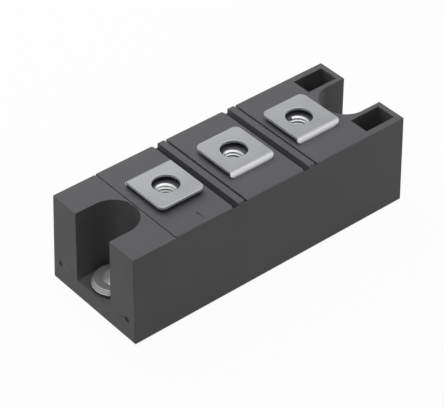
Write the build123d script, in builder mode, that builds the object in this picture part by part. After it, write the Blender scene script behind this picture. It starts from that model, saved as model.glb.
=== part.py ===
from build123d import *
import os

os.makedirs("parts", exist_ok=True)

# Two-rectifier power module in the 94 x 35 x 30 mm outline.
# Millimetres, +Z up, X along the length, origin at the centre of the underside.
# The end at -X has the closed ears, the end at +X has the ears with the lead pockets.

# Terminal row and mounting screws: the row sits a little towards +X
terminal_pitch = 23.0
terminal_row_shift = 0.35
mount_reach = 17.0

# Base plate
base_end_margin = 5.6
base_width = 31.8
base_thickness = 3.0
base_corner_radius = 2.0
bolt_bore = 6.5

# Housing outline; the walls lean in towards the deck
skirt_end_wall = 1.3
skirt_side_wall = 1.5
deck_height = 28.0
end_lean = 0.4
side_lean = 0.75
skirt_lift = 0.3
corner_radius = 0.3
rim_chamfer = 0.15
base_clearance = 0.1

# Mounting notch at each end and its metal bushing
notch_radius = 7.1
notch_floor = 5.4
bushing_diameter = 9.8
bushing_clearance = 0.1
neck_diameter = 10.8
neck_height = 0.7
flange_diameter = 12.4
flange_height = 1.5
flange_step = 0.35
flange_steps = 3

# Terminals: one bent strip each, over a captive nut
terminal_thickness = 0.9
terminal_stand = 2.0
terminal_width = 14.7
terminal_length = 15.1
terminal_corner_radius = 1.8
terminal_hole = 7.6
terminal_1_shift = -0.15
terminal_3_shift = 0.35
bend_radius = 0.9
inner_bend_radius = 0.2
shoulder_radius = 1.1
leg_width = 8.0
leg_shoulder_height = 20.5
foot_length = 3.4
leg_slot_clearance = 0.15

# Captive hexagon nuts, M6
nut_across_flats = 10.0
nut_height = 5.0
nut_bore = 5.0
nut_mouth_chamfer = 0.5
nut_clearance = 0.1
nut_drop = 0.1
screw_room_diameter = 7.0
screw_room_depth = 4.4

# Creepage trenches across the deck, each with a rib standing in it
trench_1_reach = 13.85
trench_2_reach = 10.45
trench_width = 4.65
trench_depth = 5.0
trench_near_depth = 0.6
trench_far_depth = 1.4
trench_end_wall = 0.25
trench_end_slope = 0.9
lip_radius = 1.0
rib_offset = 1.7
rib_width = 2.07
rib_rise = 0.3
rib_radius = 0.6
rib_end_radius = 0.6

# Seam beside the closed ears, and the slightly lower deck outside it
seam_width = 0.4
seam_depth = 0.5
ear_deck_drop = 0.25

# Lead pockets in the ears at +X
pocket_end_wall = 2.2
pocket_side_wall = 2.8
pocket_length = 10.2
pocket_width = 6.2
pocket_depth = 14.0

# Small marks
dimple_diameter = 1.8
dimple_depth = 0.5
dimple_margin = 3.3
dimple_z = 6.5
tick_offset = 0.15
tick_margin = 3.15
tick_length = 2.3
tick_width = 0.4
tick_depth = 0.3

# Cavity under the deck
cavity_end_wall = 1.5
cavity_side_step = 1.7
cavity_ceiling = 22.0
cavity_corner_radius = 1.5
nut_boss_length = 15.0
nut_boss_width = 12.0
nut_boss_bottom = 17.0

# Insulating tiles with their copper
tile_width = 26.0
tile_margin = 0.4
tile_gap = 1.0
tile_split_reach = 9.05
ceramic_thickness = 0.6
copper_thickness = 0.3
copper_margin = 1.0
island_gap = 2.0
island_split_reach = 12.65

# Rectifier dies and the straps over them
die_size = 9.0
die_thickness = 0.4
die_1_offset = 6.65
die_1_y = 0.0
die_2_offset = 6.25
die_2_y = 3.0
strap_width = 5.0
strap_thickness = 0.5
strap_pad = 4.0
strap_rise = 2.6
strap_slope = 1.0
strap_1_reach = 8.0
strap_2_reach = 6.6
strap_foot = 2.6

# Soft potting over the dies
gel_depth = 6.0

# Places along the length
mount_x = terminal_pitch + mount_reach
terminal_x = [
    terminal_row_shift - terminal_pitch,
    terminal_row_shift,
    terminal_row_shift + terminal_pitch,
]
strip_1_x = terminal_x[0] + terminal_1_shift
strip_2_x = terminal_x[1]
strip_3_x = terminal_x[2] + terminal_3_shift
trench_1_x = -trench_1_reach
trench_2_x = trench_2_reach
seam_x = notch_radius - mount_x
tick_x = terminal_x[0] + tick_offset
die_1_x = terminal_x[0] + die_1_offset
die_2_x = terminal_x[1] + die_2_offset
tile_split_x = terminal_x[1] - tile_split_reach
island_split_x = terminal_x[1] + island_split_reach

# Sizes that follow from the ones above
base_length = 2 * (mount_x + base_end_margin)
body_length = base_length + 2 * (base_clearance + skirt_end_wall)
body_width = base_width + 2 * (base_clearance + skirt_side_wall)
deck_length = body_length - 2 * end_lean
deck_width = body_width - 2 * side_lean
rim_length = deck_length - 2 * rim_chamfer
rim_width = deck_width - 2 * rim_chamfer
cavity_length = 2 * (mount_x - notch_radius - cavity_end_wall)
cavity_width = base_width - 2 * cavity_side_step
pocket_x = (body_length - pocket_length) / 2 - pocket_end_wall
pocket_y = (body_width - pocket_width) / 2 - pocket_side_wall
dimple_y = body_width / 2 - dimple_margin
tick_y = tick_margin - deck_width / 2
trench_floor_half = deck_width / 2 - trench_end_wall - trench_end_slope
lip_centre_y = deck_width / 2 - lip_radius
terminal_half = terminal_length / 2
leg_centre_y = terminal_half - terminal_thickness / 2
shoulder_x = terminal_width / 2 - shoulder_radius
neck_width = 2 * shoulder_x
leg_slot_length = neck_width + 2 * leg_slot_clearance
leg_slot_width = terminal_thickness + 2 * leg_slot_clearance
copper_width = tile_width - 2 * copper_margin
tile_1_start = tile_margin - cavity_length / 2
tile_1_end = tile_split_x - tile_gap / 2
tile_2_start = tile_split_x + tile_gap / 2
tile_2_end = cavity_length / 2 - tile_margin
copper_1_length = tile_1_end - tile_1_start - 2 * copper_margin
copper_2_length = tile_2_end - tile_2_start - 2 * copper_margin
island_2_length = island_split_x - island_gap / 2 - tile_2_start - copper_margin
island_3_length = tile_2_end - copper_margin - island_split_x - island_gap / 2

# Heights that follow from the ones above
tile_bottom = base_thickness + copper_thickness
tile_top = tile_bottom + ceramic_thickness
island_top = tile_top + copper_thickness
die_top = island_top + die_thickness
terminal_top = deck_height + terminal_stand
nut_top = deck_height - nut_drop
nut_seat = nut_top - nut_height
terminal_underside = terminal_top - terminal_thickness
shoulder_drop = terminal_underside - leg_shoulder_height
trench_floor = deck_height - trench_depth
trench_near_floor = deck_height - trench_near_depth
trench_far_floor = deck_height - trench_far_depth
flange_bottom = notch_floor + neck_height
step_height = flange_height / flange_steps
strap_on_die = die_top + strap_thickness / 2
strap_on_island = island_top + strap_thickness / 2

screw_positions = [(x, 0) for x in terminal_x]
mount_positions = [(-mount_x, 0), (mount_x, 0)]

# Cut for one trench: deep between the outer walls, with rounded lips where it leaves them
with BuildPart() as trench:
    with BuildSketch(Plane.YZ):
        with BuildLine():
            Polyline(
                (-body_width / 2, deck_height),
                (-body_width / 2, trench_near_floor),
                (-trench_floor_half - trench_end_slope, trench_near_floor),
                (-trench_floor_half, trench_floor),
                (trench_floor_half, trench_floor),
                (trench_floor_half + trench_end_slope, trench_far_floor),
                (body_width / 2, trench_far_floor),
                (body_width / 2, deck_height),
                close=True,
            )
        make_face()
    extrude(amount=trench_width)
    with BuildSketch(Plane.XY.offset(trench_far_floor)):
        with Locations((0, lip_centre_y)):
            Rectangle(lip_radius, 2 * lip_radius, align=(Align.MAX, Align.MIN))
        with Locations((-lip_radius, lip_centre_y)):
            Circle(lip_radius, mode=Mode.SUBTRACT)
    extrude(amount=trench_far_depth)
    with BuildSketch(Plane.XY.offset(trench_near_floor)):
        with Locations((0, -lip_centre_y)):
            Rectangle(lip_radius, 2 * lip_radius, align=(Align.MAX, Align.MAX))
        with Locations((-lip_radius, -lip_centre_y)):
            Circle(lip_radius, mode=Mode.SUBTRACT)
    extrude(amount=trench_near_depth)

# Rib that stands in each trench; its ends round down to the outer walls
with BuildPart() as rib:
    with BuildSketch(Plane.XZ) as rib_section:
        with Locations((rib_offset, trench_floor)):
            Rectangle(rib_width, trench_depth + rib_rise, align=(Align.MIN, Align.MIN))
        fillet(rib_section.vertices().group_by(Axis.Z)[-1], rib_radius)
    extrude(amount=deck_width / 2, both=True)
    with BuildSketch(Plane.YZ.offset(rib_offset)) as rib_side:
        with Locations((0, trench_floor)):
            Rectangle(deck_width, trench_depth + rib_rise, align=(Align.CENTER, Align.MIN))
        fillet(rib_side.vertices().group_by(Axis.Z)[-1], rib_end_radius)
    extrude(amount=rib_width, mode=Mode.INTERSECT)

# Housing
with BuildPart() as housing:
    with BuildSketch(Plane.XY.offset(skirt_lift)):
        RectangleRounded(body_length, body_width, corner_radius)
    with BuildSketch(Plane.XY.offset(deck_height - rim_chamfer)):
        RectangleRounded(deck_length, deck_width, corner_radius)
    with BuildSketch(Plane.XY.offset(deck_height)):
        RectangleRounded(rim_length, rim_width, corner_radius - rim_chamfer)
    loft(ruled=True)

    # Lower deck outside the seam, and the seam itself
    with BuildSketch(Plane.XY.offset(deck_height - ear_deck_drop)):
        with Locations((seam_x, 0)):
            Rectangle(body_length / 2 + seam_x, body_width, align=(Align.MAX, Align.CENTER))
    extrude(amount=ear_deck_drop, mode=Mode.SUBTRACT)
    with BuildSketch(Plane.XY.offset(deck_height - seam_depth)):
        with Locations((seam_x, 0)):
            Rectangle(seam_width, body_width)
    extrude(amount=seam_depth, mode=Mode.SUBTRACT)

    # U-shaped notch at each end, down to the bolt seat
    with BuildSketch(Plane.XY.offset(notch_floor)):
        with Locations(*mount_positions):
            Circle(notch_radius)
        with Locations((-mount_x, 0)):
            Rectangle(notch_radius + mount_x, 2 * notch_radius, align=(Align.MAX, Align.CENTER))
        with Locations((mount_x, 0)):
            Rectangle(notch_radius + mount_x, 2 * notch_radius, align=(Align.MIN, Align.CENTER))
    extrude(amount=deck_height, mode=Mode.SUBTRACT)
    with BuildSketch(Plane.XY):
        with Locations(*mount_positions):
            Circle(bushing_diameter / 2 + bushing_clearance)
    extrude(amount=notch_floor, mode=Mode.SUBTRACT)

    # Recess for the base plate
    with BuildSketch(Plane.XY):
        RectangleRounded(
            base_length + 2 * base_clearance,
            base_width + 2 * base_clearance,
            base_corner_radius + base_clearance,
        )
    extrude(amount=base_thickness, mode=Mode.SUBTRACT)

    # Cavity over the base plate, with the bosses under the nuts left standing
    with BuildSketch(Plane.XY.offset(base_thickness)):
        RectangleRounded(cavity_length, cavity_width, cavity_corner_radius)
    extrude(amount=cavity_ceiling - base_thickness, mode=Mode.SUBTRACT)
    with BuildSketch(Plane.XY.offset(nut_boss_bottom)):
        with Locations(*screw_positions):
            Rectangle(nut_boss_length, nut_boss_width)
    extrude(amount=cavity_ceiling - nut_boss_bottom)

    # Creepage trenches and their ribs
    with Locations((trench_1_x, 0), (trench_2_x, 0)):
        add(trench.part, mode=Mode.SUBTRACT)
        add(rib.part)

    # Nut pockets, screw room below them and slots for the terminal legs
    with BuildSketch(Plane.XY.offset(nut_seat)):
        with Locations(*screw_positions):
            RegularPolygon(nut_across_flats / 2 + nut_clearance, 6, major_radius=False)
    extrude(amount=nut_height + nut_drop, mode=Mode.SUBTRACT)
    with BuildSketch(Plane.XY.offset(nut_seat - screw_room_depth)):
        with Locations(*screw_positions):
            Circle(screw_room_diameter / 2)
    extrude(amount=screw_room_depth, mode=Mode.SUBTRACT)
    with BuildSketch(Plane.XY.offset(cavity_ceiling)):
        with Locations(
            (strip_1_x, leg_centre_y),
            (strip_2_x, -leg_centre_y),
            (strip_3_x, -leg_centre_y),
        ):
            Rectangle(leg_slot_length, leg_slot_width)
    extrude(amount=deck_height - cavity_ceiling, mode=Mode.SUBTRACT)

    # Lead pockets
    with BuildSketch(Plane.XY.offset(deck_height - pocket_depth)):
        with Locations((pocket_x, pocket_y), (pocket_x, -pocket_y)):
            Rectangle(pocket_length, pocket_width)
    extrude(amount=pocket_depth, mode=Mode.SUBTRACT)

    # Two dimples in the end face and a short tick on the deck
    with BuildSketch(Plane.YZ.offset(-body_length / 2)):
        with Locations((-dimple_y, dimple_z), (dimple_y, dimple_z)):
            Circle(dimple_diameter / 2)
    extrude(amount=dimple_depth, mode=Mode.SUBTRACT)
    with BuildSketch(Plane.XY.offset(deck_height - tick_depth)):
        with Locations((tick_x, tick_y)):
            Rectangle(tick_width, tick_length)
    extrude(amount=tick_depth, mode=Mode.SUBTRACT)

housing.part.label = "housing"
export_step(housing.part, "parts/housing.step")

# Base plate
with BuildPart() as base_plate:
    with BuildSketch():
        RectangleRounded(base_length, base_width, base_corner_radius)
        with Locations(*mount_positions):
            Circle(bolt_bore / 2, mode=Mode.SUBTRACT)
    extrude(amount=base_thickness)
base_plate.part.label = "base_plate"
export_step(base_plate.part, "parts/base_plate.step")

# Mounting bushing: a tube through the ear floor, a neck and a stepped flange on top
with BuildPart() as bushing:
    with BuildSketch(Plane.XY.offset(base_thickness)):
        Circle(bushing_diameter / 2)
    extrude(amount=notch_floor - base_thickness)
    with BuildSketch(Plane.XY.offset(notch_floor)):
        Circle(neck_diameter / 2)
    extrude(amount=neck_height)
    for step in range(flange_steps):
        with BuildSketch(Plane.XY.offset(flange_bottom + step * step_height)):
            Circle(flange_diameter / 2 - step * flange_step)
        extrude(amount=step_height)
    with BuildSketch(Plane.XY.offset(base_thickness)):
        Circle(bolt_bore / 2)
    extrude(amount=flange_bottom + flange_height - base_thickness, mode=Mode.SUBTRACT)

with BuildPart() as mounting_bushing_left:
    with Locations((-mount_x, 0)):
        add(bushing.part)
mounting_bushing_left.part.label = "mounting_bushing_left"
export_step(mounting_bushing_left.part, "parts/mounting_bushing_left.step")

with BuildPart() as mounting_bushing_right:
    with Locations((mount_x, 0)):
        add(bushing.part)
mounting_bushing_right.part.label = "mounting_bushing_right"
export_step(mounting_bushing_right.part, "parts/mounting_bushing_right.step")

# Terminal strip: screw plate, bend, leg through the deck and soldered foot
with BuildPart() as strip:
    with BuildSketch(Plane.YZ) as strip_side:
        with BuildLine():
            Polyline(
                (terminal_half, terminal_top),
                (-terminal_half, terminal_top),
                (-terminal_half, island_top + terminal_thickness),
                (-terminal_half - foot_length, island_top + terminal_thickness),
                (-terminal_half - foot_length, island_top),
                (-terminal_half + terminal_thickness, island_top),
                (-terminal_half + terminal_thickness, terminal_underside),
                (terminal_half, terminal_underside),
                close=True,
            )
        make_face()
        corners = strip_side.vertices()
        top_bend = corners.sort_by_distance((-terminal_half, terminal_top))[0]
        foot_bend = corners.sort_by_distance((-terminal_half + terminal_thickness, island_top))[0]
        fillet([top_bend, foot_bend], bend_radius)
        corners = strip_side.vertices()
        inner_top = corners.sort_by_distance((-terminal_half + terminal_thickness, terminal_underside))[0]
        inner_foot = corners.sort_by_distance((-terminal_half, island_top + terminal_thickness))[0]
        fillet([inner_top, inner_foot], inner_bend_radius)
    extrude(amount=terminal_width / 2, both=True)

    # The fold's corners round in to a narrower neck, and the leg is narrower again
    with BuildSketch(Plane.XZ.offset(terminal_half - terminal_thickness - inner_bend_radius)):
        with Locations((shoulder_x, leg_shoulder_height)):
            Rectangle(neck_width, shoulder_drop, align=(Align.MIN, Align.MIN))
        with Locations((-shoulder_x, leg_shoulder_height)):
            Rectangle(neck_width, shoulder_drop, align=(Align.MAX, Align.MIN))
        with Locations((shoulder_x, terminal_underside), (-shoulder_x, terminal_underside)):
            Circle(shoulder_radius, mode=Mode.SUBTRACT)
    extrude(amount=2 * terminal_thickness, mode=Mode.SUBTRACT)
    with BuildSketch(Plane.XY.offset(island_top)):
        with Locations((leg_width / 2, -terminal_half)):
            Rectangle(terminal_width, 3 * foot_length, align=(Align.MIN, Align.CENTER))
        with Locations((-leg_width / 2, -terminal_half)):
            Rectangle(terminal_width, 3 * foot_length, align=(Align.MAX, Align.CENTER))
    extrude(amount=leg_shoulder_height - island_top, mode=Mode.SUBTRACT)
    free_corners = strip.edges().filter_by(Axis.Z).group_by(Axis.Y)[-1]
    fillet(free_corners, terminal_corner_radius)

with BuildPart() as terminal_1:
    with Locations(Location((strip_1_x, 0, 0), (0, 0, 180))):
        add(strip.part)
    with BuildSketch(Plane.XY.offset(terminal_underside)):
        with Locations(screw_positions[0]):
            Circle(terminal_hole / 2)
    extrude(amount=terminal_thickness, mode=Mode.SUBTRACT)
terminal_1.part.label = "terminal_1"
export_step(terminal_1.part, "parts/terminal_1.step")

with BuildPart() as terminal_2:
    with Locations((strip_2_x, 0)):
        add(strip.part)
    with BuildSketch(Plane.XY.offset(terminal_underside)):
        with Locations(screw_positions[1]):
            Circle(terminal_hole / 2)
    extrude(amount=terminal_thickness, mode=Mode.SUBTRACT)
terminal_2.part.label = "terminal_2"
export_step(terminal_2.part, "parts/terminal_2.step")

with BuildPart() as terminal_3:
    with Locations((strip_3_x, 0)):
        add(strip.part)
    with BuildSketch(Plane.XY.offset(terminal_underside)):
        with Locations(screw_positions[2]):
            Circle(terminal_hole / 2)
    extrude(amount=terminal_thickness, mode=Mode.SUBTRACT)
terminal_3.part.label = "terminal_3"
export_step(terminal_3.part, "parts/terminal_3.step")

# Captive nut: hexagon with a bevelled mouth; the bore is the thread's inner diameter
with BuildPart() as nut:
    with BuildSketch(Plane.XY.offset(nut_seat)):
        RegularPolygon(nut_across_flats / 2, 6, major_radius=False)
        Circle(nut_bore / 2, mode=Mode.SUBTRACT)
    extrude(amount=nut_height)
    mouth = nut.faces().sort_by(Axis.Z)[-1].edges().filter_by(GeomType.CIRCLE)
    chamfer(mouth, nut_mouth_chamfer)

with BuildPart() as terminal_nut_1:
    with Locations(screw_positions[0]):
        add(nut.part)
terminal_nut_1.part.label = "terminal_nut_1"
export_step(terminal_nut_1.part, "parts/terminal_nut_1.step")

with BuildPart() as terminal_nut_2:
    with Locations(screw_positions[1]):
        add(nut.part)
terminal_nut_2.part.label = "terminal_nut_2"
export_step(terminal_nut_2.part, "parts/terminal_nut_2.step")

with BuildPart() as terminal_nut_3:
    with Locations(screw_positions[2]):
        add(nut.part)
terminal_nut_3.part.label = "terminal_nut_3"
export_step(terminal_nut_3.part, "parts/terminal_nut_3.step")

# Insulating tile at -X: copper underneath, ceramic, one copper island on top
with BuildPart() as tile_copper_left:
    with BuildSketch(Plane.XY.offset(base_thickness)):
        with Locations((tile_1_start + copper_margin, 0)):
            Rectangle(copper_1_length, copper_width, align=(Align.MIN, Align.CENTER))
    extrude(amount=copper_thickness)
tile_copper_left.part.label = "tile_copper_left"
export_step(tile_copper_left.part, "parts/tile_copper_left.step")

with BuildPart() as ceramic_tile_left:
    with BuildSketch(Plane.XY.offset(tile_bottom)):
        with Locations((tile_1_start, 0)):
            Rectangle(tile_1_end - tile_1_start, tile_width, align=(Align.MIN, Align.CENTER))
    extrude(amount=ceramic_thickness)
ceramic_tile_left.part.label = "ceramic_tile_left"
export_step(ceramic_tile_left.part, "parts/ceramic_tile_left.step")

with BuildPart() as copper_island_1:
    with BuildSketch(Plane.XY.offset(tile_top)):
        with Locations((tile_1_start + copper_margin, 0)):
            Rectangle(copper_1_length, copper_width, align=(Align.MIN, Align.CENTER))
    extrude(amount=copper_thickness)
copper_island_1.part.label = "copper_island_1"
export_step(copper_island_1.part, "parts/copper_island_1.step")

# Insulating tile at +X: copper underneath, ceramic, two copper islands on top
with BuildPart() as tile_copper_right:
    with BuildSketch(Plane.XY.offset(base_thickness)):
        with Locations((tile_2_start + copper_margin, 0)):
            Rectangle(copper_2_length, copper_width, align=(Align.MIN, Align.CENTER))
    extrude(amount=copper_thickness)
tile_copper_right.part.label = "tile_copper_right"
export_step(tile_copper_right.part, "parts/tile_copper_right.step")

with BuildPart() as ceramic_tile_right:
    with BuildSketch(Plane.XY.offset(tile_bottom)):
        with Locations((tile_2_start, 0)):
            Rectangle(tile_2_end - tile_2_start, tile_width, align=(Align.MIN, Align.CENTER))
    extrude(amount=ceramic_thickness)
ceramic_tile_right.part.label = "ceramic_tile_right"
export_step(ceramic_tile_right.part, "parts/ceramic_tile_right.step")

with BuildPart() as copper_island_2:
    with BuildSketch(Plane.XY.offset(tile_top)):
        with Locations((island_split_x - island_gap / 2, 0)):
            Rectangle(island_2_length, copper_width, align=(Align.MAX, Align.CENTER))
    extrude(amount=copper_thickness)
copper_island_2.part.label = "copper_island_2"
export_step(copper_island_2.part, "parts/copper_island_2.step")

with BuildPart() as copper_island_3:
    with BuildSketch(Plane.XY.offset(tile_top)):
        with Locations((island_split_x + island_gap / 2, 0)):
            Rectangle(island_3_length, copper_width, align=(Align.MIN, Align.CENTER))
    extrude(amount=copper_thickness)
copper_island_3.part.label = "copper_island_3"
export_step(copper_island_3.part, "parts/copper_island_3.step")

# Rectifier dies, soldered on the islands
with BuildPart() as schottky_die_1:
    with BuildSketch(Plane.XY.offset(island_top)):
        with Locations((die_1_x, die_1_y)):
            Rectangle(die_size, die_size)
    extrude(amount=die_thickness)
schottky_die_1.part.label = "schottky_die_1"
export_step(schottky_die_1.part, "parts/schottky_die_1.step")

with BuildPart() as schottky_die_2:
    with BuildSketch(Plane.XY.offset(island_top)):
        with Locations((die_2_x, die_2_y)):
            Rectangle(die_size, die_size)
    extrude(amount=die_thickness)
schottky_die_2.part.label = "schottky_die_2"
export_step(schottky_die_2.part, "parts/schottky_die_2.step")

# Arched straps from the top of each die to the next island
with BuildPart() as anode_strap_1:
    with BuildSketch(Plane.XZ.offset(-die_1_y)):
        with BuildLine():
            Polyline(
                (die_1_x - strap_pad / 2, strap_on_die),
                (die_1_x + strap_pad / 2, strap_on_die),
                (die_1_x + strap_pad / 2 + strap_slope, strap_on_die + strap_rise),
                (die_1_x + strap_pad / 2 + strap_1_reach - strap_slope, strap_on_die + strap_rise),
                (die_1_x + strap_pad / 2 + strap_1_reach, strap_on_island),
                (die_1_x + strap_pad / 2 + strap_1_reach + strap_foot, strap_on_island),
            )
        trace(line_width=strap_thickness)
    extrude(amount=strap_width / 2, both=True)
anode_strap_1.part.label = "anode_strap_1"
export_step(anode_strap_1.part, "parts/anode_strap_1.step")

with BuildPart() as anode_strap_2:
    with BuildSketch(Plane.XZ.offset(-die_2_y)):
        with BuildLine():
            Polyline(
                (die_2_x - strap_pad / 2, strap_on_die),
                (die_2_x + strap_pad / 2, strap_on_die),
                (die_2_x + strap_pad / 2 + strap_slope, strap_on_die + strap_rise),
                (die_2_x + strap_pad / 2 + strap_2_reach - strap_slope, strap_on_die + strap_rise),
                (die_2_x + strap_pad / 2 + strap_2_reach, strap_on_island),
                (die_2_x + strap_pad / 2 + strap_2_reach + strap_foot, strap_on_island),
            )
        trace(line_width=strap_thickness)
    extrude(amount=strap_width / 2, both=True)
anode_strap_2.part.label = "anode_strap_2"
export_step(anode_strap_2.part, "parts/anode_strap_2.step")

# Soft potting: fills the bottom of the cavity around everything that stands in it
with BuildPart() as potting_gel:
    with BuildSketch(Plane.XY.offset(base_thickness)):
        RectangleRounded(cavity_length, cavity_width, cavity_corner_radius)
    extrude(amount=gel_depth)
    for buried in (
        tile_copper_left,
        ceramic_tile_left,
        copper_island_1,
        tile_copper_right,
        ceramic_tile_right,
        copper_island_2,
        copper_island_3,
        schottky_die_1,
        schottky_die_2,
        anode_strap_1,
        anode_strap_2,
        terminal_1,
        terminal_2,
        terminal_3,
    ):
        add(buried.part, mode=Mode.SUBTRACT)
potting_gel.part.label = "potting_gel"
export_step(potting_gel.part, "parts/potting_gel.step")
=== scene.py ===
"""Dresses the packed rectifier module and sets the stage that it is photographed on."""

import math

import bmesh
import bpy
from mathutils import Matrix, Vector


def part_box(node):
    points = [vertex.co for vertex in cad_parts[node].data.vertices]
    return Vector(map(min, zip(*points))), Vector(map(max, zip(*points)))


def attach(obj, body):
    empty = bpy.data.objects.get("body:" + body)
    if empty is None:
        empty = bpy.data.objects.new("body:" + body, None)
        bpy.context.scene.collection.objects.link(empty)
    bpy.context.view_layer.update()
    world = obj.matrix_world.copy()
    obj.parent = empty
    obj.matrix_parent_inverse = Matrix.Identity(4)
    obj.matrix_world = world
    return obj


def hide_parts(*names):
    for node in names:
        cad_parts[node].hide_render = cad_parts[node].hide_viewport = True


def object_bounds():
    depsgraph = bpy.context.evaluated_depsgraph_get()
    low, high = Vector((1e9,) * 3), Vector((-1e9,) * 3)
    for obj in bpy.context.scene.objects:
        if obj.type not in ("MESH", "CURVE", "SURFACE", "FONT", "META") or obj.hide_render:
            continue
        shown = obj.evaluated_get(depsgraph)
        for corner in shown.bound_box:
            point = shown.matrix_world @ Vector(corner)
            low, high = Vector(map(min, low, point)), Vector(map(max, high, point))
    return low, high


bl_info = {
    "name": "Two-rectifier Power Module",
    "version": (1, 0, 0),
    "blender": (4, 5, 0),
    "location": "View3D > Sidebar > Module",
    "description": "Dresses the packed rectifier module and sets its stage",
    "category": "Object",
}

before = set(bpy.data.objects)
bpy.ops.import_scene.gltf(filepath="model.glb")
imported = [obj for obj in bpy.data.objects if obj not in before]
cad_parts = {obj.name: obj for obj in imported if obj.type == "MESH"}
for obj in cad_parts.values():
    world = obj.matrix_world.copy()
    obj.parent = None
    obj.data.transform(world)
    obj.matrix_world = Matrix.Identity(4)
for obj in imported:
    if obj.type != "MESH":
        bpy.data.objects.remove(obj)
cad_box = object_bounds()

MM = 0.001

# Distance, angles and weight that the mesh work uses
MERGE_DISTANCE = 1e-6
FLAT_ANGLE = math.radians(0.6)
SHARP_ANGLE = math.radians(60)
KNIFE_ANGLE = math.radians(150)
CREASE_ANGLE = math.radians(32)
NORMAL_WEIGHT = 80

# The terminals, the side along Y that each one folds to, and the painted light and shade that make
# each one lighter or darker
TERMINALS = ("terminal_1", "terminal_2", "terminal_3")
FOLD_SIDES = (1.0, -1.0, -1.0)
STRIP_LIGHT_LEVELS = (1.07, 1.01, 0.96)

# Where a strip's finish, painted shade and painted highlights change: outward to its fold, in
# height, and from the near side
BEND_REACH = (6.6 * MM, 6.9 * MM)
LEG_REACH = (6.95 * MM, 7.2 * MM)
LEG_HEIGHT = (29.45 * MM, 29.8 * MM)
FOOT_HEIGHT = (28.0 * MM, 28.7 * MM)
FAR_REACH = (-6 * MM, 8 * MM)

# The nuts, and how many turns above its foot each one's thread starts
NUTS = ("terminal_nut_1", "terminal_nut_2", "terminal_nut_3")
THREAD_LEADS = (1.12, 0.9, 1.25)

# A thread's ridge: half its width at the root and the crest as shares of the pitch,
# the depth of its root in the wall, and the turns left free above it
ROOT_HALF = 0.48
CREST_HALF = 0.07
ROOT_DEPTH = 0.04 * MM
FREE_TURNS = 0.5

# The share over its radius within which a bore's points are found, and its mouth's growth
BORE_SPARE = 1.01
MOUTH_GROWTH = 1.1

# Depths below a nut's mouth between which the painted shade in the bore thins out
BORE_SHADE_DEPTHS = (2.6 * MM, 1.2 * MM)

BUSHINGS = ("mounting_bushing_left", "mounting_bushing_right")
COPPER = (
    "tile_copper_left",
    "tile_copper_right",
    "copper_island_1",
    "copper_island_2",
    "copper_island_3",
    "anode_strap_1",
    "anode_strap_2",
)
CERAMIC = ("ceramic_tile_left", "ceramic_tile_right")
DIES = ("schottky_die_1", "schottky_die_2")

# Colours of worn places, of painted highlights on the strips and of painted shade in the nuts'
# mouths
EDGE_HIGHLIGHT_PLATING = (0.88, 0.88, 0.89)
LEG_HIGHLIGHT = (0.97, 0.97, 0.98)
MOUTH_SHADE = (0.13, 0.13, 0.14)
RUBBED_STEEL = (0.8, 0.8, 0.8)
RUBBED_PLATE = (0.78, 0.76, 0.72)
WHITE = (1.0, 1.0, 1.0, 1.0)

# How far a finish's roughness drifts either way
SHEEN_DRIFT = 0.05

# Samples for edge wear and edge highlights and for painted light in grooves, the cosines between
# which the edge mask grows, and the openness between which the painted light in grooves thins out
EDGE_SAMPLES = 6
GROOVE_LIGHT_SAMPLES = 8
EDGE_COSINES = (0.995, 0.86)
GROOVE_LIGHT_OPENNESS = (0.35, 0.95)

# The point that the camera and the lamps are set about, and how far left of it and
# below it the camera stands
MIDDLE = Vector((0.0, 0.0, 15 * MM))
CAMERA_LEFT = 2.73 * MM
CAMERA_DOWN = 2.902 * MM
SENSOR_WIDTH = 36.0
CLIP_RANGE = (0.01, 10.0)

# Each lamp's width and place, in metres
LAMPS = {
    "over_lamp": (0.50, (0.0, 0.0, 0.56)),
    "back_lamp": (0.23, (0.03, 0.19, 0.24)),
    "side_lamp": (0.40, (-0.42, 0.42, 0.25)),
    "front_lamp": (0.20, (0.22, -0.12, 0.09)),
}

# The studio that metal mirrors: its brightness on the near and the far side, and the Y of
# the directions between which it changes
STUDIO_GLOW = (1.2, 0.6)
STUDIO_SPAN = (-0.7, 0.5)

# The floor's half width, its depth below the part, the share of white on it, and the
# border inside the part's outline where its shadow fades in
FLOOR_SIZE = 2.0
FLOOR_DEPTH = 0.05 * MM
FLOOR_GLOW = 0.96
FLOOR_BORDER = 2 * MM


# Sizes and colours that a user would change


class MouldingSettings(bpy.types.PropertyGroup):
    """Charcoal moulding"""

    colour: bpy.props.FloatVectorProperty(
        name="Plastic colour",
        description="Base colour of the moulded housing",
        subtype="COLOR",
        size=3,
        min=0.0,
        max=1.0,
        default=(0.098, 0.098, 0.103),
    )
    roughness: bpy.props.FloatProperty(
        name="Plastic roughness",
        description="Middle roughness of the moulded surface",
        min=0.0,
        max=1.0,
        default=0.58,
    )
    grain_size: bpy.props.FloatProperty(
        name="Grain size",
        description="Width of one spark-eroded grain",
        unit="LENGTH",
        default=0.3 * MM,
    )
    grain_depth: bpy.props.FloatProperty(
        name="Grain depth",
        description="Height of the spark-eroded grain",
        unit="LENGTH",
        default=0.006 * MM,
    )
    edge_radius: bpy.props.FloatProperty(
        name="Moulding edge radius",
        description="Rounding of the moulding's outer edges",
        unit="LENGTH",
        default=0.1 * MM,
    )


class TerminalSettings(bpy.types.PropertyGroup):
    """Plated terminal strips"""

    colour: bpy.props.FloatVectorProperty(
        name="Plating colour",
        description="Colour of the plated strip",
        subtype="COLOR",
        size=3,
        min=0.0,
        max=1.0,
        default=(0.63, 0.64, 0.66),
    )
    roughness: bpy.props.FloatProperty(
        name="Plating roughness",
        description="Middle roughness of the plated strip",
        min=0.0,
        max=1.0,
        default=0.34,
    )
    edge_radius: bpy.props.FloatProperty(
        name="Stamped edge radius",
        description="Rounding of the strip's stamped edges",
        unit="LENGTH",
        default=0.12 * MM,
    )


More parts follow.
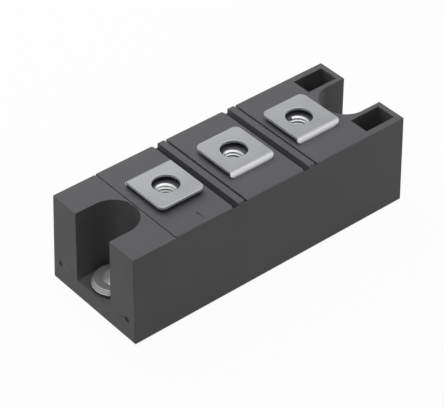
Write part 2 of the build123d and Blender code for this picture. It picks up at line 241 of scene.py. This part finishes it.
class NutSettings(bpy.types.PropertyGroup):
    """Captive nuts and their threads"""

    thread_diameter: bpy.props.FloatProperty(
        name="Thread diameter",
        description="Diameter at the bottom of the nut's thread grooves",
        unit="LENGTH",
        default=6.0 * MM,
    )
    bore_diameter: bpy.props.FloatProperty(
        name="Bore diameter",
        description="Diameter at the thread's crests, as the solid has it",
        unit="LENGTH",
        default=5.0 * MM,
    )
    mouth_depth: bpy.props.FloatProperty(
        name="Mouth depth",
        description="Depth of the chamfer at the thread's mouth",
        unit="LENGTH",
        default=0.5 * MM,
    )
    pitch: bpy.props.FloatProperty(
        name="Thread pitch",
        description="Rise of one thread turn",
        unit="LENGTH",
        default=1.0 * MM,
    )
    steps: bpy.props.IntProperty(
        name="Steps in a turn",
        description="Straight pieces in one thread turn",
        min=12,
        default=48,
    )


class InsideSettings(bpy.types.PropertyGroup):
    """Metal parts and the pieces under the deck"""

    edge_radius: bpy.props.FloatProperty(
        name="Machined edge radius",
        description="Rounding of the base plate's and bushings' edges",
        unit="LENGTH",
        default=0.1 * MM,
    )
    plate_colour: bpy.props.FloatVectorProperty(
        name="Base plate colour",
        description="Colour of the ground and plated base plate",
        subtype="COLOR",
        size=3,
        min=0.0,
        max=1.0,
        default=(0.60, 0.59, 0.56),
    )
    bushing_colour: bpy.props.FloatVectorProperty(
        name="Bushing colour",
        description="Colour of the turned bushings",
        subtype="COLOR",
        size=3,
        min=0.0,
        max=1.0,
        default=(0.56, 0.56, 0.57),
    )
    copper_colour: bpy.props.FloatVectorProperty(
        name="Copper colour",
        description="Colour of the bare copper",
        subtype="COLOR",
        size=3,
        min=0.0,
        max=1.0,
        default=(0.80, 0.43, 0.29),
    )


class StageSettings(bpy.types.PropertyGroup):
    """Camera, lamps and floor"""

    azimuth: bpy.props.FloatProperty(
        name="Camera azimuth",
        description="Turn of the camera about the upright axis",
        subtype="ANGLE",
        default=math.radians(-40.482),
    )
    elevation: bpy.props.FloatProperty(
        name="Camera elevation",
        description="Height of the camera as an angle over the floor",
        subtype="ANGLE",
        default=math.radians(39.074),
    )
    roll: bpy.props.FloatProperty(
        name="Camera roll",
        description="Turn of the camera about its own line of sight",
        subtype="ANGLE",
        default=math.radians(0.702),
    )
    distance: bpy.props.FloatProperty(
        name="Camera distance",
        description="Distance from the camera to the module's middle",
        unit="LENGTH",
        default=542.768 * MM,
    )
    focal_length: bpy.props.FloatProperty(
        name="Focal length",
        description="Focal length on a 36 mm wide picture, in millimetres",
        default=164.154,
    )
    over_lamp: bpy.props.FloatProperty(
        name="Overhead lamp power",
        description="Power of the soft lamp straight above",
        unit="POWER",
        default=1.6,
    )
    back_lamp: bpy.props.FloatProperty(
        name="Back lamp power",
        description="Power of the soft lamp above the far side",
        unit="POWER",
        default=0.51,
    )
    side_lamp: bpy.props.FloatProperty(
        name="Side lamp power",
        description="Power of the soft lamp beyond the left end",
        unit="POWER",
        default=0.54,
    )
    front_lamp: bpy.props.FloatProperty(
        name="Front lamp power",
        description="Power of the weak lamp on the near right",
        unit="POWER",
        default=0.045,
    )
    fill: bpy.props.FloatProperty(
        name="Fill light",
        description="Even light from all round",
        min=0.0,
        default=0.05,
    )


SETTINGS = {
    "module_moulding": MouldingSettings,
    "module_terminals": TerminalSettings,
    "module_nuts": NutSettings,
    "module_inside": InsideSettings,
    "module_stage": StageSettings,
}


# Materials


def new_finish(name, colour, metallic, roughness):
    """A node material with its shader set to even values, and the object's coordinates."""
    material = bpy.data.materials.new(name)
    material.use_nodes = True
    tree = material.node_tree
    shader = tree.nodes["Principled BSDF"]
    shader.inputs["Base Color"].default_value = (*colour, 1.0)
    shader.inputs["Metallic"].default_value = metallic
    shader.inputs["Roughness"].default_value = roughness
    place = tree.nodes.new("ShaderNodeTexCoord").outputs["Object"]
    return material, tree, shader, place


def dress(tree, shader, tone, sheen, normal):
    """Ends a finish: links its colour, roughness and bump to the shader."""
    tree.links.new(tone, shader.inputs["Base Color"])
    tree.links.new(sheen, shader.inputs["Roughness"])
    tree.links.new(normal, shader.inputs["Normal"])


def axes(tree, vector):
    """The X, Y and Z of a vector."""
    node = tree.nodes.new("ShaderNodeSeparateXYZ")
    tree.links.new(vector, node.inputs["Vector"])
    return node.outputs


def mapped(tree, vector, scale, turn=(0.0, 0.0, 0.0)):
    """The vector, stretched and turned for a pattern with a direction."""
    node = tree.nodes.new("ShaderNodeMapping")
    node.inputs["Scale"].default_value = scale
    node.inputs["Rotation"].default_value = turn
    tree.links.new(vector, node.inputs["Vector"])
    return node.outputs["Vector"]


def noise(tree, vector, width, detail=3.0, roughness=0.55):
    """Cloudy noise whose blotches are about as wide as the width given."""
    node = tree.nodes.new("ShaderNodeTexNoise")
    node.inputs["Scale"].default_value = 1.0 / width
    node.inputs["Detail"].default_value = detail
    node.inputs["Roughness"].default_value = roughness
    tree.links.new(vector, node.inputs["Vector"])
    return node.outputs["Fac"]


def spread(tree, value, low, high, start=0.3, end=0.7):
    """The value moved from the range start..end to low..high."""
    node = tree.nodes.new("ShaderNodeMapRange")
    node.inputs["From Min"].default_value = start
    node.inputs["From Max"].default_value = end
    node.inputs["To Min"].default_value = low
    node.inputs["To Max"].default_value = high
    tree.links.new(value, node.inputs["Value"])
    return node.outputs["Result"]


def without(tree, share):
    """What a share leaves of 1."""
    return spread(tree, share, 1.0, 0.0, 0.0, 1.0)


def worked(tree, operation, first, second):
    """One math step on a value and a value or number."""
    node = tree.nodes.new("ShaderNodeMath")
    node.operation = operation
    tree.links.new(first, node.inputs[0])
    if isinstance(second, float):
        node.inputs[1].default_value = second
    else:
        tree.links.new(second, node.inputs[1])
    return node.outputs["Value"]


def blended(tree, factor, first, second):
    """A colour between two others; each is a colour or a socket."""
    node = tree.nodes.new("ShaderNodeMix")
    node.data_type = "RGBA"
    tree.links.new(factor, node.inputs["Factor"])
    for socket, colour in ((node.inputs[6], first), (node.inputs[7], second)):
        if isinstance(colour, bpy.types.NodeSocket):
            tree.links.new(colour, socket)
        else:
            socket.default_value = (*colour, 1.0)
    return node.outputs[2]


def mixed(tree, share, first, second):
    """A surface between two others."""
    node = tree.nodes.new("ShaderNodeMixShader")
    tree.links.new(share, node.inputs["Fac"])
    tree.links.new(first, node.inputs[1])
    tree.links.new(second, node.inputs[2])
    return node.outputs["Shader"]


def bumped(tree, height, depth, below=None):
    """A surface normal raised by a height, over another bump where one is given."""
    node = tree.nodes.new("ShaderNodeBump")
    node.inputs["Strength"].default_value = 1.0
    node.inputs["Distance"].default_value = depth
    tree.links.new(height, node.inputs["Height"])
    if below is not None:
        tree.links.new(below, node.inputs["Normal"])
    return node.outputs["Normal"]


def edge_wear_and_highlight(tree, radius):
    """0 on flat faces, rising to 1 within a radius of an edge."""
    soft = tree.nodes.new("ShaderNodeBevel")
    soft.samples = EDGE_SAMPLES
    soft.inputs["Radius"].default_value = radius
    flat = tree.nodes.new("ShaderNodeNewGeometry")
    meeting = tree.nodes.new("ShaderNodeVectorMath")
    meeting.operation = "DOT_PRODUCT"
    tree.links.new(soft.outputs["Normal"], meeting.inputs[0])
    tree.links.new(flat.outputs["Normal"], meeting.inputs[1])
    return spread(tree, meeting.outputs["Value"], 0.0, 1.0, *EDGE_COSINES)


def crevice(tree, reach):
    """0 on open faces, rising to 1 in grooves and pockets about as narrow as the reach."""
    hidden = tree.nodes.new("ShaderNodeAmbientOcclusion")
    hidden.samples = GROOVE_LIGHT_SAMPLES
    hidden.only_local = True
    hidden.inputs["Distance"].default_value = reach
    return spread(tree, hidden.outputs["AO"], 1.0, 0.0, *GROOVE_LIGHT_OPENNESS)


def shade(colour, factor):
    """A colour made lighter or darker."""
    return tuple(min(1.0, channel * factor) for channel in colour)


def mottled(tree, clouds, colour, dark, pale):
    """A colour that drifts with the clouds between two shades of itself."""
    return blended(tree, spread(tree, clouds, 0.0, 1.0), shade(colour, dark), shade(colour, pale))


def plastic_finish(settings):
    """Charcoal moulded plastic: fine grain, cloudy sheen, worn paler edges and painted light in the
    grooves.
    """
    colour = tuple(settings.colour)
    material, tree, shader, place = new_finish("moulded_plastic", colour, 0.0, settings.roughness)
    shader.inputs["Specular IOR Level"].default_value = 0.38
    clouds = noise(tree, place, 9 * MM, detail=4.0)
    specks = spread(tree, noise(tree, place, 0.55 * MM, detail=2.0), 0.0, 0.22, 0.55, 0.75)
    edges = worked(tree, "MULTIPLY", edge_wear_and_highlight(tree, 0.25 * MM), 0.35)
    tone = mottled(tree, clouds, colour, 0.95, 1.05)
    tone = blended(tree, specks, tone, shade(colour, 1.35))
    tone = blended(tree, edges, tone, shade(colour, 1.7))
    # Painted light: grooves, pockets and dimples made paler, standing in for light that reaches
    # into them
    tone = blended(tree, crevice(tree, 5 * MM), tone, shade(colour, 1.9))
    middle = settings.roughness
    sheen = spread(tree, clouds, middle - SHEEN_DRIFT, middle + SHEEN_DRIFT)
    grain = noise(tree, place, settings.grain_size, detail=2.0, roughness=0.6)
    waves = noise(tree, place, 6 * MM, detail=1.0)
    normal = bumped(tree, waves, 0.03 * MM)
    normal = bumped(tree, grain, settings.grain_depth, normal)
    dress(tree, shader, tone, sheen, normal)
    return material


def strip_finish(settings, name, side, plating_light):
    """Plated strip: lines and pits, with painted highlights on its edges, far side and fold leg and
    painted shade on its bend and foot; the fold is on the side given.
    """
    # Painted light and shade: the strip's colour made lighter or darker by its light level
    colour = shade(settings.colour, plating_light)
    material, tree, shader, place = new_finish(name, colour, 1.0, settings.roughness)
    clouds = noise(tree, place, 6 * MM)
    lines = noise(tree, mapped(tree, place, (1.0, 0.03, 1.0)), 0.16 * MM, roughness=0.65)
    pits = spread(tree, noise(tree, place, 0.5 * MM, roughness=0.7), 0.0, 0.35, 0.58, 0.75)
    parts = axes(tree, place)
    outward = worked(tree, "MULTIPLY", parts["Y"], side)
    bend = spread(tree, outward, 0.0, 1.0, *BEND_REACH)
    leg = spread(tree, parts["Z"], 1.0, 0.0, *LEG_HEIGHT)
    leg = worked(tree, "MULTIPLY", leg, spread(tree, outward, 0.0, 1.0, *LEG_REACH))
    foot = spread(tree, parts["Z"], 1.0, 0.0, *FOOT_HEIGHT)
    far = spread(tree, parts["Y"], 0.0, 1.0, *FAR_REACH)
    facing = axes(tree, tree.nodes.new("ShaderNodeNewGeometry").outputs["Normal"])
    sheared = spread(tree, worked(tree, "ABSOLUTE", facing["Z"], 0.0), 1.0, 0.0, 0.1, 0.5)
    sheared = worked(tree, "MULTIPLY", sheared, without(tree, bend))
    tone = mottled(tree, clouds, colour, 0.92, 1.06)
    # Painted light: the far side of the strip made paler
    tone = blended(tree, worked(tree, "MULTIPLY", far, 0.5), tone, shade(colour, 1.3))
    tone = blended(tree, pits, tone, shade(colour, 0.72))
    # Painted highlight along the strip's stamped edges
    tone = blended(tree, edge_wear_and_highlight(tree, 0.4 * MM), tone, EDGE_HIGHLIGHT_PLATING)
    # Painted shade over the bend of the fold
    tone = blended(tree, worked(tree, "MULTIPLY", bend, 0.8), tone, shade(colour, 0.78))
    # Painted highlight on the fold's leg face, which is also made rougher
    tone = blended(tree, leg, tone, LEG_HIGHLIGHT)
    # Painted shade at the foot of the fold, where the strip meets the deck
    tone = blended(tree, worked(tree, "MULTIPLY", foot, 0.5), tone, shade(colour, 0.5))
    tree.links.new(spread(tree, sheared, 1.0, 0.3, 0.0, 1.0), shader.inputs["Metallic"])
    middle = settings.roughness
    sheen = spread(tree, clouds, middle - SHEEN_DRIFT, middle + SHEEN_DRIFT)
    sheen = worked(tree, "ADD", sheen, spread(tree, lines, -0.04, 0.04))
    sheen = worked(tree, "ADD", sheen, worked(tree, "MULTIPLY", sheared, 0.2))
    sheen = worked(tree, "ADD", sheen, worked(tree, "MULTIPLY", leg, 0.6))
    normal = bumped(tree, clouds, 0.05 * MM)
    normal = bumped(tree, lines, 0.002 * MM, normal)
    dress(tree, shader, tone, sheen, normal)
    return material


def nut_finish(name, axis, rim, groove):
    """Bright zinc on a cut thread, with painted shade deep in the bore and on the mouth above the
    rim's height.
    """
    colour = (0.93, 0.94, 0.95)
    material, tree, shader, place = new_finish(name, colour, 1.0, 0.26)
    clouds = noise(tree, place, 1.6 * MM)
    cut = noise(tree, mapped(tree, place, (1.0, 1.0, 6.0)), 0.25 * MM, detail=2.0)
    height = axes(tree, place)["Z"]
    level = tree.nodes.new("ShaderNodeVectorMath")
    level.operation = "MULTIPLY_ADD"
    level.inputs[1].default_value = (1.0, 1.0, 0.0)
    level.inputs[2].default_value = -axis
    tree.links.new(place, level.inputs[0])
    outward = tree.nodes.new("ShaderNodeVectorMath")
    outward.operation = "LENGTH"
    tree.links.new(level.outputs["Vector"], outward.inputs[0])
    mouth = spread(tree, outward.outputs["Value"], 0.0, 1.0, groove, groove + 0.04 * MM)
    mouth_shade = spread(tree, height, 0.0, 1.0, rim - 0.05 * MM, rim + 0.05 * MM)
    mouth_shade = worked(tree, "MULTIPLY", mouth_shade, mouth)
    bore_shade = spread(tree, height, 1.0, 0.0, *(rim - depth for depth in BORE_SHADE_DEPTHS))
    tone = mottled(tree, clouds, colour, 0.9, 1.06)
    # Painted shade: the thread darker deep in the bore
    tone = blended(tree, bore_shade, tone, shade(colour, 0.4))
    # Painted shade: the mouth and top of the nut made dark and less metallic where they lie under
    # the plate
    tone = blended(tree, mouth_shade, tone, MOUTH_SHADE)
    tree.links.new(spread(tree, mouth_shade, 1.0, 0.2, 0.0, 1.0), shader.inputs["Metallic"])
    sheen = spread(tree, clouds, 0.2, 0.34)
    dress(tree, shader, tone, sheen, bumped(tree, cut, 0.004 * MM))
    return material


def bushing_finish(settings, reach):
    """Turned steel with tool rings about the axis of each bushing."""
    colour = tuple(settings.bushing_colour)
    material, tree, shader, place = new_finish("turned_steel", colour, 1.0, 0.62)
    parts = axes(tree, place)
    along = worked(tree, "SUBTRACT", worked(tree, "ABSOLUTE", parts["X"], 0.0), reach)
    along = worked(tree, "POWER", along, 2.0)
    across = worked(tree, "POWER", parts["Y"], 2.0)
    outward = worked(tree, "SQRT", worked(tree, "ADD", along, across), 0.0)
    turning = tree.nodes.new("ShaderNodeTexNoise")
    turning.noise_dimensions = "1D"
    turning.inputs["Scale"].default_value = 1.0 / (0.12 * MM)
    turning.inputs["Detail"].default_value = 3.0
    tree.links.new(outward, turning.inputs["W"])
    rings = turning.outputs["Fac"]
    clouds = noise(tree, place, 3 * MM)
    tone = mottled(tree, rings, colour, 0.86, 1.1)
    tone = blended(tree, edge_wear_and_highlight(tree, 0.15 * MM), tone, RUBBED_STEEL)
    sheen = spread(tree, clouds, 0.55, 0.7)
    dress(tree, shader, tone, sheen, bumped(tree, rings, 0.006 * MM))
    return material


def plate_finish(settings):
    """Base plate: ground along its length, plated, with faint handling marks."""
    colour = tuple(settings.plate_colour)
    material, tree, shader, place = new_finish("ground_plate", colour, 1.0, 0.38)
    ground = mapped(tree, place, (0.012, 1.0, 1.0))
    lines = noise(tree, ground, 0.14 * MM, detail=4.0, roughness=0.7)
    clouds = noise(tree, place, 12 * MM, detail=4.0, roughness=0.6)
    rubbed = mapped(tree, place, (0.05, 1.0, 1.0), (0.0, 0.0, 0.5))
    marks = spread(tree, noise(tree, rubbed, 0.5 * MM, detail=2.0), 0.0, 0.3, 0.66, 0.8)
    tone = mottled(tree, clouds, colour, 0.9, 1.05)
    tone = blended(tree, marks, tone, shade(colour, 0.75))
    tone = blended(tree, edge_wear_and_highlight(tree, 0.2 * MM), tone, RUBBED_PLATE)
    sheen = worked(tree, "ADD", spread(tree, clouds, 0.32, 0.44), spread(tree, lines, -0.05, 0.05))
    dress(tree, shader, tone, sheen, bumped(tree, lines, 0.004 * MM))
    return material


def copper_finish(settings):
    """Bare copper with cloudy tarnish."""
    colour = tuple(settings.copper_colour)
    material, tree, shader, place = new_finish("bare_copper", colour, 1.0, 0.35)
    tarnish = noise(tree, place, 3 * MM, detail=5.0, roughness=0.6)
    etch = noise(tree, place, 0.15 * MM, detail=2.0)
    tone = mottled(tree, tarnish, colour, 0.8, 1.05)
    sheen = spread(tree, tarnish, 0.42, 0.3)
    dress(tree, shader, tone, sheen, bumped(tree, etch, 0.003 * MM))
    return material


def ceramic_finish():
    """White fired ceramic with a faint tooth."""
    colour = (0.84, 0.84, 0.81)
    material, tree, shader, place = new_finish("fired_ceramic", colour, 0.0, 0.5)
    clouds = noise(tree, place, 4 * MM, detail=4.0)
    tooth = noise(tree, place, 0.12 * MM, detail=2.0)
    tone = mottled(tree, clouds, colour, 0.95, 1.02)
    sheen = spread(tree, clouds, 0.45, 0.56)
    dress(tree, shader, tone, sheen, bumped(tree, tooth, 0.002 * MM))
    return material


def silicon_finish():
    """Metallised silicon: dark, satin and a little blue."""
    colour = (0.24, 0.25, 0.29)
    material, tree, shader, place = new_finish("metallised_silicon", colour, 0.85, 0.3)
    film = noise(tree, place, 2 * MM)
    tone = blended(tree, spread(tree, film, 0.0, 1.0), colour, (0.32, 0.33, 0.36))
    sheen = spread(tree, film, 0.24, 0.38)
    dress(tree, shader, tone, sheen, bumped(tree, film, 0.002 * MM))
    return material


def gel_finish():
    """Soft clear potting, slightly milky."""
    colour = (0.82, 0.84, 0.82)
    material, tree, shader, place = new_finish("potting_gel", colour, 0.0, 0.12)
    shader.inputs["Transmission Weight"].default_value = 0.8
    shader.inputs["IOR"].default_value = 1.41
    swell = noise(tree, place, 7 * MM, detail=2.0)
    tone = mottled(tree, swell, colour, 1.0, 1.08)
    sheen = spread(tree, swell, 0.08, 0.2)
    dress(tree, shader, tone, sheen, bumped(tree, swell, 0.15 * MM))
    return material


def floor_finish(corner):
    """Pale matt floor: white outside the part's outline, shadowed in it, clear from below."""
    material, tree, shader, place = new_finish("pale_floor", (0.62, 0.62, 0.62), 0.0, 0.9)
    paper = noise(tree, place, 4 * MM)
    tree.links.new(spread(tree, paper, 0.86, 0.94), shader.inputs["Roughness"])
    tree.links.new(bumped(tree, paper, 0.02 * MM), shader.inputs["Normal"])
    parts = axes(tree, place)
    beyond = []
    for axis, edge in (("X", corner.x), ("Y", corner.y)):
        reach = worked(tree, "ABSOLUTE", parts[axis], 0.0)
        beyond.append(spread(tree, reach, 0.0, 1.0, edge - FLOOR_BORDER, edge))
    open_floor = worked(tree, "MAXIMUM", *beyond)
    rays = tree.nodes.new("ShaderNodeLightPath").outputs
    seen = worked(tree, "MAXIMUM", rays["Is Camera Ray"], rays["Is Glossy Ray"])
    seen = worked(tree, "MAXIMUM", seen, rays["Is Transmission Ray"])
    share = worked(tree, "MULTIPLY", worked(tree, "MULTIPLY", seen, open_floor), FLOOR_GLOW)
    glow = tree.nodes.new("ShaderNodeEmission")
    glow.inputs["Color"].default_value = WHITE
    pale = mixed(tree, share, shader.outputs["BSDF"], glow.outputs["Emission"])
    back = tree.nodes.new("ShaderNodeNewGeometry").outputs["Backfacing"]
    covered = worked(tree, "MULTIPLY", without(tree, open_floor), rays["Is Glossy Ray"])
    unseen = worked(tree, "MAXIMUM", back, covered)
    clear = tree.nodes.new("ShaderNodeBsdfTransparent").outputs["BSDF"]
    surface = mixed(tree, unseen, pale, clear)
    tree.links.new(surface, tree.nodes["Material Output"].inputs["Surface"])
    return material


# Meshes


def merged_mesh(node):
    """A bmesh of a CAD node with its triangles joined and its flat faces whole."""
    bm = bmesh.new()
    bm.from_mesh(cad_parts[node].data)
    bmesh.ops.remove_doubles(bm, verts=bm.verts, dist=MERGE_DISTANCE)
    bmesh.ops.dissolve_limit(
        bm,
        angle_limit=FLAT_ANGLE,
        use_dissolve_boundaries=False,
        verts=bm.verts,
        edges=bm.edges,
    )
    return bm


def round_edges(bm, radius, segments=2):
    """Rounds over the outer edges that are as sharp as a cut or a parting edge."""
    sharp = [
        edge
        for edge in bm.edges
        if len(edge.link_faces) == 2
        and edge.is_convex
        and SHARP_ANGLE < edge.calc_face_angle() < KNIFE_ANGLE
    ]
    bmesh.ops.bevel(
        bm,
        geom=sharp,
        offset=radius,
        offset_type="OFFSET",
        segments=segments,
        profile=0.5,
        affect="EDGES",
        clamp_overlap=False,
        material=-1,
    )


def finished_piece(bm, name, material, node):
    """Makes the object that stands for a CAD node, smooth over its small steps."""
    bmesh.ops.triangulate(bm, faces=[face for face in bm.faces if len(face.verts) > 4])
    bmesh.ops.dissolve_degenerate(bm, dist=MERGE_DISTANCE, edges=bm.edges)
    for face in bm.faces:
        face.smooth = True
    for edge in bm.edges:
        edge.smooth = len(edge.link_faces) == 2 and edge.calc_face_angle() < CREASE_ANGLE
    mesh = bpy.data.meshes.new(name)
    bm.to_mesh(mesh)
    bm.free()
    mesh.materials.append(material)
    piece = bpy.data.objects.new(name, mesh)
    bpy.context.scene.collection.objects.link(piece)
    weights = piece.modifiers.new("weighted_normals", "WEIGHTED_NORMAL")
    weights.keep_sharp = True
    weights.weight = NORMAL_WEIGHT
    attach(piece, "root")
    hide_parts(node)
    return piece


def finish_nodes(nodes, material):
    """Gives CAD nodes their finish and leaves their meshes alone."""
    for node in nodes:
        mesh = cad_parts[node].data
        mesh.materials.clear()
        mesh.materials.append(material)


def settings_of(context, name):
    """One group of this module's settings."""
    return getattr(context.scene, name)


# Operators


class MODULE_OT_stage(bpy.types.Operator):
    """Set up the camera, the lamps and the pale floor"""

    bl_idname = "module.stage"
    bl_label = "Stage"

    def execute(self, context):
        settings = settings_of(context, "module_stage")
        scene = context.scene
        self.add_camera(scene, settings)
        for name, (width, place) in LAMPS.items():
            self.add_lamp(scene, name, getattr(settings, name), width, place)
        self.add_surround(scene, settings)
        self.add_floor(scene)
        scene.view_settings.view_transform = "Standard"
        return {"FINISHED"}

    def add_camera(self, scene, settings):
        """Places the camera by its angles about the module's middle."""
        turn, rise, roll = settings.azimuth, settings.elevation, settings.roll
        back = Vector(
            (
                math.sin(turn) * math.cos(rise),
                -math.cos(turn) * math.cos(rise),
                math.sin(rise),
            )
        )
        level = Vector((math.cos(turn), math.sin(turn), 0.0))
        upright = back.cross(level)
        right = level * math.cos(roll) + upright * math.sin(roll)
        up = upright * math.cos(roll) - level * math.sin(roll)
        place = MIDDLE - right * CAMERA_LEFT - up * CAMERA_DOWN + back * settings.distance
        lens = bpy.data.cameras.new("photo_camera")
        lens.sensor_width = SENSOR_WIDTH
        lens.lens = settings.focal_length
        lens.clip_start, lens.clip_end = CLIP_RANGE
        camera = bpy.data.objects.new("photo_camera", lens)
        scene.collection.objects.link(camera)
        turned = Matrix((right, up, back)).transposed().to_4x4()
        camera.matrix_world = Matrix.Translation(place) @ turned
        scene.camera = camera

    def add_lamp(self, scene, name, power, width, place):
        """A square soft lamp that faces the module."""
        lamp = bpy.data.lights.new(name, "AREA")
        lamp.energy = power
        lamp.size = width
        body = bpy.data.objects.new(name, lamp)
        body.location = place
        aim = Vector(place) - MIDDLE
        body.rotation_euler = aim.to_track_quat("Z", "Y").to_euler()
        body.visible_glossy = False
        scene.collection.objects.link(body)

    def add_surround(self, scene, settings):
        """White to the camera, dim for lighting, and a bright studio in metal."""
        world = bpy.data.worlds.new("surround")
        world.use_nodes = True
        scene.world = world
        tree = world.node_tree
        light = tree.nodes["Background"]
        light.inputs["Color"].default_value = WHITE
        rays = tree.nodes.new("ShaderNodeLightPath").outputs
        outward = tree.nodes.new("ShaderNodeTexCoord").outputs["Generated"]
        mirror = spread(tree, axes(tree, outward)["Y"], *STUDIO_GLOW, *STUDIO_SPAN)
        mirror = worked(tree, "MULTIPLY", mirror, rays["Is Glossy Ray"])
        white = worked(tree, "MAXIMUM", rays["Is Camera Ray"], rays["Is Transmission Ray"])
        strength = worked(tree, "MAXIMUM", worked(tree, "MAXIMUM", mirror, white), settings.fill)
        tree.links.new(strength, light.inputs["Strength"])

    def add_floor(self, scene):
        """A wide floor just under the base plate."""
        bm = bmesh.new()
        below = Matrix.Translation((0.0, 0.0, -FLOOR_DEPTH))
        bmesh.ops.create_grid(bm, x_segments=1, y_segments=1, size=FLOOR_SIZE, matrix=below)
        mesh = bpy.data.meshes.new("floor")
        bm.to_mesh(mesh)
        bm.free()
        mesh.materials.append(floor_finish(cad_box[1]))
        floor = bpy.data.objects.new("floor", mesh)
        scene.collection.objects.link(floor)


class MODULE_OT_moulding(bpy.types.Operator):
    """Dress the moulded housing"""

    bl_idname = "module.moulding"
    bl_label = "Moulded housing"

    def execute(self, context):
        settings = settings_of(context, "module_moulding")
        bm = merged_mesh("housing")
        round_edges(bm, settings.edge_radius)
        finished_piece(bm, "housing_moulding", plastic_finish(settings), "housing")
        return {"FINISHED"}


class MODULE_OT_terminals(bpy.types.Operator):
    """Dress the three bent terminal strips"""

    bl_idname = "module.terminals"
    bl_label = "Terminal strips"

    def execute(self, context):
        settings = settings_of(context, "module_terminals")
        for node, side, plating_light in zip(TERMINALS, FOLD_SIDES, STRIP_LIGHT_LEVELS):
            bm = merged_mesh(node)
            round_edges(bm, settings.edge_radius, segments=3)
            material = strip_finish(settings, node + "_plating", side, plating_light)
            finished_piece(bm, node + "_strip", material, node)
        return {"FINISHED"}


class MODULE_OT_nuts(bpy.types.Operator):
    """Cut threads in the three captive nuts"""

    bl_idname = "module.nuts"
    bl_label = "Threaded nuts"

    def execute(self, context):
        settings = settings_of(context, "module_nuts")
        for node, lead in zip(NUTS, THREAD_LEADS):
            low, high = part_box(node)
            axis = Vector(((low.x + high.x) / 2, (low.y + high.y) / 2, 0.0))
            bm = merged_mesh(node)
            self.open_bore(bm, axis, settings)
            self.add_thread(bm, axis, low.z + lead * settings.pitch, high.z, settings)
            rim = high.z - settings.mouth_depth
            material = nut_finish(node + "_zinc", axis, rim, settings.thread_diameter / 2)
            finished_piece(bm, node + "_threaded", material, node)
        return {"FINISHED"}

    def open_bore(self, bm, axis, settings):
        """Widens the bore to the bottom of the thread grooves, and its mouth a little more."""
        bore = settings.bore_diameter / 2
        groove = settings.thread_diameter / 2
        wall = []
        mouth = []
        for vert in bm.verts:
            reach = (vert.co - axis).xy.length
            if reach < bore * BORE_SPARE:
                wall.append(vert)
            elif reach < groove * BORE_SPARE:
                mouth.append(vert)
        for verts, growth in ((wall, groove / bore), (mouth, MOUTH_GROWTH)):
            bmesh.ops.scale(
                bm,
                vec=(growth, growth, 1.0),
                space=Matrix.Translation(-axis),
                verts=verts,
            )

    def add_thread(self, bm, axis, start, top, settings):
        """Winds one ridge up the bore, with its crest at the solid's bore."""
        crest = settings.bore_diameter / 2
        root = settings.thread_diameter / 2 + ROOT_DEPTH
        pitch = settings.pitch
        turns = (top - start) / pitch - FREE_TURNS
        steps = round(turns * settings.steps)
        section = (
            (root, -ROOT_HALF),
            (crest, -CREST_HALF),
            (crest, CREST_HALF),
            (root, ROOT_HALF),
        )
        corners = [
            bm.verts.new((axis.x + reach, axis.y, start + rise * pitch))
            for reach, rise in section
        ]
        face = bm.faces.new(corners)
        bmesh.ops.spin(
            bm,
            geom=[face, *face.verts, *face.edges],
            cent=axis,
            axis=(0.0, 0.0, 1.0),
            dvec=(0.0, 0.0, turns * pitch / steps),
            angle=turns * math.tau,
            steps=steps,
            use_merge=False,
            use_duplicate=False,
        )
        bmesh.ops.recalc_face_normals(bm, faces=bm.faces)


class MODULE_OT_bushings(bpy.types.Operator):
    """Dress the two turned mounting bushings"""

    bl_idname = "module.bushings"
    bl_label = "Mounting bushings"

    def execute(self, context):
        settings = settings_of(context, "module_inside")
        low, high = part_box("mounting_bushing_right")
        material = bushing_finish(settings, (low.x + high.x) / 2)
        for node in BUSHINGS:
            bm = merged_mesh(node)
            round_edges(bm, settings.edge_radius)
            finished_piece(bm, node + "_turned", material, node)
        return {"FINISHED"}


class MODULE_OT_base_plate(bpy.types.Operator):
    """Dress the ground base plate"""

    bl_idname = "module.base_plate"
    bl_label = "Base plate"

    def execute(self, context):
        settings = settings_of(context, "module_inside")
        bm = merged_mesh("base_plate")
        round_edges(bm, settings.edge_radius)
        finished_piece(bm, "base_plate_ground", plate_finish(settings), "base_plate")
        return {"FINISHED"}


class MODULE_OT_inside(bpy.types.Operator):
    """Finish the tiles, dies, straps and potting under the deck"""

    bl_idname = "module.inside"
    bl_label = "Pieces under the deck"

    def execute(self, context):
        settings = settings_of(context, "module_inside")
        finish_nodes(COPPER, copper_finish(settings))
        finish_nodes(CERAMIC, ceramic_finish())
        finish_nodes(DIES, silicon_finish())
        finish_nodes(("potting_gel",), gel_finish())
        return {"FINISHED"}


OPERATORS = (
    MODULE_OT_stage,
    MODULE_OT_moulding,
    MODULE_OT_terminals,
    MODULE_OT_nuts,
    MODULE_OT_bushings,
    MODULE_OT_base_plate,
    MODULE_OT_inside,
)


class MODULE_PT_sidebar(bpy.types.Panel):
    """Lists the module's settings and the operators that use them"""

    bl_idname = "MODULE_PT_sidebar"
    bl_label = "Power Module"
    bl_space_type = "VIEW_3D"
    bl_region_type = "UI"
    bl_category = "Module"

    def draw(self, context):
        layout = self.layout
        for name, group in SETTINGS.items():
            box = layout.box()
            box.label(text=group.__doc__)
            for value in group.__annotations__:
                box.prop(settings_of(context, name), value)
        for operator in OPERATORS:
            layout.operator(operator.bl_idname)


CLASSES = (*SETTINGS.values(), *OPERATORS, MODULE_PT_sidebar)


def register():
    for cls in CLASSES:
        bpy.utils.register_class(cls)
    for name, group in SETTINGS.items():
        setattr(bpy.types.Scene, name, bpy.props.PointerProperty(type=group))


def unregister():
    for name in SETTINGS:
        delattr(bpy.types.Scene, name)
    for cls in reversed(CLASSES):
        bpy.utils.unregister_class(cls)


def main():
    """Builds the whole scene."""
    register()
    bpy.ops.module.stage()
    bpy.ops.module.moulding()
    bpy.ops.module.terminals()
    bpy.ops.module.nuts()
    bpy.ops.module.bushings()
    bpy.ops.module.base_plate()
    bpy.ops.module.inside()


if __name__ == "__main__":
    main()
